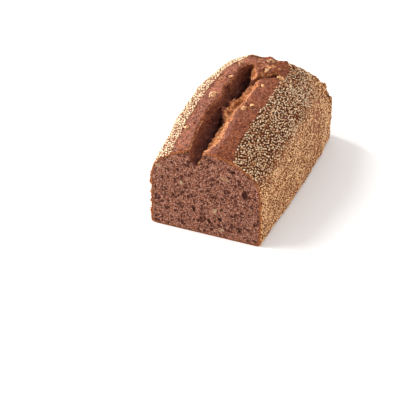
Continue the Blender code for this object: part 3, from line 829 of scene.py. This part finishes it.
def loaf_masks(points):
    """Where each finish of the loaf shows on its points, and where light or shade is painted on them, from 0
    to 1.
    """
    x, y, z = points.T
    s = y - CUT_Y
    inside = -skin(x, y, z)
    away = open_space(x, y, z)
    wander = 1.4 * MM * rough(x, y, z, 5 * MM, 31)
    on_top = z > SHOULDER

    cut = (s < 0.35 * MM) | ((s < 3.2 * MM) & (inside > 1.9 * MM) & (away > 1.2 * MM))
    torn = smooth_step(inside, 0.5 * MM, 1.2 * MM) * (1 - cut)
    left, right = stations(BARE_STRIP, s)
    bare = smooth_step(np.minimum(x - left, right - x) + wander, -0.6 * MM, 0.6 * MM)
    bare = bare * on_top * (s < BARE_STRIP[-1][0] * MM)
    rubbed = np.hypot((s - RUBBED_PATCH[0]) / RUBBED_PATCH[2], (z - RUBBED_PATCH[1]) / RUBBED_PATCH[3])
    rubbed = (1 - smooth_step(rubbed + wander / (1.6 * MM), 0.1, 1.3)) * (x > 0)
    border = WALL_TOP + WALL_TOP_RISE * np.sin(np.pi * s / LENGTH)
    border = border + 8 * MM * smooth_step(s, 150 * MM, 190 * MM)
    # a painted shadow line along the right lip of the split's near half
    lip = stations(SPLIT, s)[3] + 2.5 * MM
    crease = np.exp(-((x - lip + wander) / (1.1 * MM)) ** 2) * (s < SHELF[0][0] * MM) * on_top
    return {
        # painted light: the left slope's crust and seed are drawn paler, as the back light overexposes them
        # there
        "faded": smooth_step(-x, 20 * MM, 32 * MM) * on_top,
        "crumb": smooth_step(inside, 0.9 * MM, 1.8 * MM) * cut,
        "rim": (1 - smooth_step(inside, 1.2 * MM, 2.6 * MM)) * (s < 0.9 * MM),
        "torn": torn,
        # painted shade in the splits
        "deep": painted_split_shade(x, s, z, inside),
        # painted shade: how far down the split's walls turn to the depth colour
        "depth": smooth_step(inside, 7 * MM, 22 * MM),
        "coated": (1 - bare) * (1 - 0.45 * rubbed) * (1 - torn),
        "wall": 1 - smooth_step(z + 2 * wander, border - 14 * MM, border + 21 * MM),
        # painted shade in the depths of the carved pores
        "pore": smooth_step(s, 0.5 * MM, 1.4 * MM) * cut,
        "rubbed": rubbed,
        # painted shade round each walnut piece of the crust and along the right lip
        "nook_shade": np.maximum(0.7 * painted_nut_shadow(points), 0.4 * crease),
    }


class WALNUTBREAD_OT_loaf(bpy.types.Operator):
    """Makes the loaf: its baked skin, the torn split, and the cut face with its pores"""
    bl_idname = "walnut_bread.loaf"
    bl_label = "Loaf"

    def execute(self, context):
        sizes, colours = context.scene.walnut_bread_sizes, context.scene.walnut_bread_colours
        axes = grid_axes(sizes)
        points, quads = largest_part(*surface_net(loaf_field(sizes, axes), axes))
        if len(points) < 10000:
            raise RuntimeError("the loaf's mesh is empty")
        points = np.clip(points, *CAD_BOX)
        loaf = mesh_object("bread", points, quads, [bread_material(colours)], loaf_masks(points))
        dress(loaf, "bread", "loaf")
        return {"FINISHED"}


def seed_form(sizes):
    """One sesame seed, a flattened drop: its points, three-sided faces and each point's nearness to a tip."""
    around, rings = 7, 4
    points, tip = [(-0.5, 0, 0)], [0.8]
    for ring in range(1, rings):
        share = ring / rings
        girth = math.sin(math.pi * share) ** 0.75 * (1.18 - 0.5 * share)
        for side in range(around):
            turn = 2 * math.pi * side / around
            points.append((share - 0.5, girth * math.cos(turn) / 2, girth * math.sin(turn) / 2))
            tip.append(abs(2 * share - 0.9) ** 2)
    points.append((0.5, 0, 0))
    tip.append(1.0)
    faces = []
    for side in range(around):
        nxt = (side + 1) % around
        faces.append((0, 1 + nxt, 1 + side))
        for ring in range(rings - 2):
            a, b = 1 + ring * around + side, 1 + ring * around + nxt
            faces += [(a, b, b + around), (a, b + around, a + around)]
        last = 1 + (rings - 2) * around
        faces.append((last + side, last + nxt, len(points) - 1))
    scale = (sizes.seed_length, sizes.seed_width, sizes.seed_thickness)
    return np.array(points) * scale, np.array(faces), np.array(tip)


def scatter(points, order, spacing):
    """The points, taken in the given order, that keep at least their spacing from those before them."""
    cell = spacing.max()
    kept, grid = [], {}
    keys = np.floor(points / cell).astype(int)
    for i in order:
        key = tuple(keys[i])
        near = [
            j for dx in (-1, 0, 1) for dy in (-1, 0, 1) for dz in (-1, 0, 1)
            for j in grid.get((key[0] + dx, key[1] + dy, key[2] + dz), ())]
        if near and (((points[near] - points[i]) ** 2).sum(axis=1) < spacing[i] ** 2).any():
            continue
        grid.setdefault(key, []).append(i)
        kept.append(i)
    return np.array(kept)


def read_mask(mesh, name):
    values = np.empty(len(mesh.vertices), np.float32)
    mesh.attributes[name].data.foreach_get("value", values)
    return values


def seed_places(points, normals, masks, spacing, rng):
    """Which points carry a seed: coated crust that isn't cut, torn, rubbed off or facing down."""
    chance = rng.random(len(points))
    fit = (masks["coated"] > 0.35 + 0.3 * chance) & (masks["crumb"] < 0.5) & (masks["torn"] < 0.5)
    fit &= (points[:, 2] > LOWEST_SEED) & (points[:, 1] > CUT_Y + 0.4 * MM)
    fit &= rng.random(len(points)) > masks["rubbed"] * 0.9
    fit &= (masks["nook_shade"] < 0.3) & (normals[:, 2] > STEEPEST_SEED)
    spacing = spacing * (1 - 0.12 * masks["wall"]) * rng.uniform(0.74, 1.26, len(points))
    return scatter(points, rng.permutation(np.flatnonzero(fit)), spacing)


def lay_seeds(form, points, normals, wall, thickness, rng):
    """The points of all seeds, each tilted and turned at random where it lies on the crust."""
    count = len(points)
    up = normals + rng.normal(0, 1, (count, 3)) * (0.3 - 0.1 * wall)[:, None]
    up /= np.linalg.norm(up, axis=1)[:, None]
    side = np.cross(up, rng.normal(0, 1, (count, 3)))
    side /= np.linalg.norm(side, axis=1)[:, None]
    turns = np.stack([side, np.cross(up, side), up], axis=1)
    local = form[None] * rng.uniform(0.84, 1.1, (count, 1, 3))
    height = thickness * (0.34 - 0.12 * wall + rng.uniform(-0.12, 0.16, count))
    centre = points + normals * height[:, None]
    return np.clip(centre[:, None] + np.einsum("npk,nkc->npc", local, turns), *CAD_BOX)


class WALNUTBREAD_OT_sesame(bpy.types.Operator):
    """Scatters sesame over the coated crust: pale on the slopes, golden where the tin pressed it in"""
    bl_idname = "walnut_bread.sesame"
    bl_label = "Sesame"

    def execute(self, context):
        sizes, colours = context.scene.walnut_bread_sizes, context.scene.walnut_bread_colours
        mesh = bpy.data.objects["bread"].data
        points = np.empty(len(mesh.vertices) * 3)
        mesh.vertices.foreach_get("co", points)
        points = points.reshape(-1, 3)
        names = ("crumb", "torn", "coated", "wall", "rubbed", "nook_shade", "faded")
        masks = {name: read_mask(mesh, name) for name in names}
        rng = np.random.default_rng(17)
        normals = skin_normals(points)
        kept = seed_places(points, normals, masks, sizes.seed_spacing, rng)
        count = len(kept)
        if count < 1000:
            raise RuntimeError("hardly any sesame found a place")

        form, faces, tip = seed_form(sizes)
        points, normals, wall, faded = points[kept], normals[kept], masks["wall"][kept], masks["faded"][kept]
        placed = lay_seeds(form, points, normals, wall, sizes.seed_thickness, rng)
        patch = rough(*points.T, 13 * MM, 51) + 0.7 * rough(*points.T, 6 * MM, 52)
        # painted light: seeds on the left slope are paler and their ends less dark
        shade = np.clip(rng.random(count) ** 1.2 + 0.22 * patch * wall, 0, 1) * (1 - 0.7 * faded)
        golden = np.clip(wall * 2.4 - 1.3 + rng.normal(0, 0.25, count), 0, 1)

        top = wall < 0.5
        heel = points[:, 1] > CUT_Y + LENGTH - HEEL_CORNER_RIGHT
        right = points[:, 0] > 0
        material = seed_material(colours)
        # painted shade on the underside of each seed, where it meets the crust
        low = smooth_step(-form[:, 2], -0.15 * sizes.seed_thickness, 0.3 * sizes.seed_thickness)
        zones = {
            "sesame_slope_right": top & right,
            "sesame_slope_left": top & ~right,
            "sesame_wall_right": ~top & right & ~heel,
            "sesame_wall_left": ~top & ~right & ~heel,
            "sesame_heel": ~top & heel,
        }
        for name, chosen in zones.items():
            number = int(chosen.sum())
            joined = (faces[None] + np.arange(number)[:, None, None] * len(form)).reshape(-1, 3)
            values = {
                "shade": np.repeat(shade[chosen], len(form)),
                "golden": np.repeat(golden[chosen], len(form)),
                "tip": np.tile(np.maximum(tip, low), number) * np.repeat(1 - 0.6 * faded[chosen], len(form)),
            }
            piece = mesh_object(name, placed[chosen].reshape(-1, 3), joined, [material], values)
            dress(piece, "bread")
            print(name, number, "seeds,", len(joined), "triangles")
        return {"FINISHED"}


class WALNUTBREAD_OT_walnuts(bpy.types.Operator):
    """Gives every walnut piece its folds: those on the crust, and those that the knife cut through"""
    bl_idname = "walnut_bread.walnuts"
    bl_label = "Walnut pieces"

    def execute(self, context):
        colours = context.scene.walnut_bread_colours
        whole = walnut_material("walnut", colours.walnut, colours.walnut_deep)
        cut = walnut_material("walnut_cut", colours.walnut_cut, colours.coat_wall)
        names = sorted(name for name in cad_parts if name.startswith("walnut"))
        if not names:
            raise RuntimeError("the frame holds no walnut pieces")
        for name in names:
            bm = bmesh.new()
            bm.from_mesh(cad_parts[name].data)
            bmesh.ops.remove_doubles(bm, verts=bm.verts, dist=0.01 * MM)
            on_face = min(vert.co.y for vert in bm.verts) < CUT_Y + 0.1 * MM
            rounding = 0.0 if on_face else 0.6
            bmesh.ops.subdivide_edges(bm, edges=bm.edges, cuts=3, use_grid_fill=True, smooth=rounding)
            bmesh.ops.triangulate(bm, faces=bm.faces)
            points = np.array([vert.co for vert in bm.verts])
            faces = np.array([[vert.index for vert in face.verts] for face in bm.faces])
            bm.free()
            low, high = (np.array(corner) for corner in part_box(name))
            middle = (low + high) / 2
            crease = np.abs(rough(*points.T, 2.4 * MM, 41))
            fold = 1 - smooth_step(crease, 0.0, 0.3)
            out = points - middle
            out /= np.linalg.norm(out, axis=1)[:, None]
            push = -1.1 * fold + 0.6 * rough(*points.T, 1.6 * MM, 42)
            push = (push + 1.3 * rough(*points.T, 3.6 * MM, 43)) * MM
            if on_face:
                out[:, 1] = 0
                push *= 0.5 * smooth_step(points[:, 1], CUT_Y + 0.1 * MM, CUT_Y + 0.8 * MM)
            points = np.clip(points + out * push[:, None], low, high)
            piece = mesh_object(name + "_kernel", points, faces, [cut if on_face else whole], {"fold": fold})
            dress(piece, "walnut", name)
        return {"FINISHED"}


# The studio

CAMERA_AZIMUTH = math.radians(22.292)
CAMERA_ELEVATION = math.radians(34.596)
CAMERA_DISTANCE = 1.6
CAMERA_TARGET = (-4.173 * MM, CUT_Y - 2.746 * MM, 40 * MM)
CAMERA_LENS = 155.05
FLOOR_HALF_SIZE = 8.0


def look_towards(obj, target):
    """Turns a camera or a light at its place to face target."""
    obj.rotation_euler = (Vector(target) - obj.location).to_track_quat("-Z", "Y").to_euler()


def area_light(name, place, target, power, width):
    light = bpy.data.lights.new(name, "AREA")
    light.shape = "DISK"
    light.size = width
    light.energy = power
    obj = bpy.data.objects.new(name, light)
    obj.location = place
    bpy.context.scene.collection.objects.link(obj)
    look_towards(obj, target)


class WALNUTBREAD_OT_studio(bpy.types.Operator):
    """Lays the pale floor and sets the soft lights and the camera"""
    bl_idname = "walnut_bread.studio"
    bl_label = "Studio"

    def execute(self, context):
        sizes, colours = context.scene.walnut_bread_sizes, context.scene.walnut_bread_colours
        half = FLOOR_HALF_SIZE
        corners = np.array([(-half, -half, 0), (half, -half, 0), (half, half, 0), (-half, half, 0)], float)
        corners[:, 2] = CAD_BOX[0][2] - 0.05 * MM
        material, board, shader, place = new_material("studio_floor")
        paper = board.group(baked_mottle(), Vector=place, Colour=colours.floor, Second=(0.86, 0.86, 0.86, 1),
                            Scale=3.0, Amount=0.1)
        board.link(paper.outputs["Colour"], shader.inputs["Base Color"])
        shader.inputs["Roughness"].default_value = 0.9
        shader.inputs["Specular IOR Level"].default_value = 0.1
        floor = mesh_object("studio_floor", corners, np.array([[0, 1, 2, 3]]), [material])

        world = bpy.data.worlds.new("studio_room")
        world.use_nodes = True
        world.node_tree.nodes["Background"].inputs["Color"].default_value = (1, 1, 1, 1)
        world.node_tree.nodes["Background"].inputs["Strength"].default_value = sizes.room_light
        context.scene.world = world
        area_light("key_light", (-1.1, -0.4, 1.45), (0, 0, 0.04), sizes.key_power, 0.9)
        area_light("fill_light", (1.5, -0.5, 0.8), (0, 0, 0.04), sizes.fill_power, 1.4)
        area_light("back_light", (-1.6, 0.5, 0.3), (0, 0, 0.06), sizes.back_power, 0.5)

        camera = bpy.data.objects.new("camera", bpy.data.cameras.new("camera"))
        camera.data.lens = CAMERA_LENS
        camera.data.sensor_width = 36
        camera.data.clip_end = 50
        flat = math.cos(CAMERA_ELEVATION)
        back = Vector((
            math.sin(CAMERA_AZIMUTH) * flat, -math.cos(CAMERA_AZIMUTH) * flat, math.sin(CAMERA_ELEVATION)))
        camera.location = Vector(CAMERA_TARGET) + back * CAMERA_DISTANCE
        context.scene.collection.objects.link(camera)
        look_towards(camera, CAMERA_TARGET)
        context.scene.camera = camera
        context.scene.view_settings.view_transform = "Standard"
        return {"FINISHED"}


OPERATORS = (WALNUTBREAD_OT_loaf, WALNUTBREAD_OT_sesame, WALNUTBREAD_OT_walnuts, WALNUTBREAD_OT_studio)


class WALNUTBREAD_PT_panel(bpy.types.Panel):
    """Lists the pieces of the loaf"""
    bl_idname = "WALNUTBREAD_PT_panel"
    bl_label = "Walnut Bread"
    bl_space_type = "VIEW_3D"
    bl_region_type = "UI"
    bl_category = "Walnut Bread"

    def draw(self, context):
        for operator in OPERATORS:
            self.layout.operator(operator.bl_idname)
        for group in (context.scene.walnut_bread_sizes, context.scene.walnut_bread_colours):
            box = self.layout.box()
            for name in group.__annotations__:
                box.prop(group, name)


CLASSES = (WalnutBreadSizes, WalnutBreadColours, *OPERATORS, WALNUTBREAD_PT_panel)


def register():
    for cls in CLASSES:
        bpy.utils.register_class(cls)
    bpy.types.Scene.walnut_bread_sizes = PointerProperty(type=WalnutBreadSizes)
    bpy.types.Scene.walnut_bread_colours = PointerProperty(type=WalnutBreadColours)


def unregister():
    del bpy.types.Scene.walnut_bread_colours
    del bpy.types.Scene.walnut_bread_sizes
    for cls in reversed(CLASSES):
        bpy.utils.unregister_class(cls)


def main():
    register()
    bpy.ops.walnut_bread.studio()
    bpy.ops.walnut_bread.loaf()
    bpy.ops.walnut_bread.sesame()
    bpy.ops.walnut_bread.walnuts()


if __name__ == "__main__":
    main()
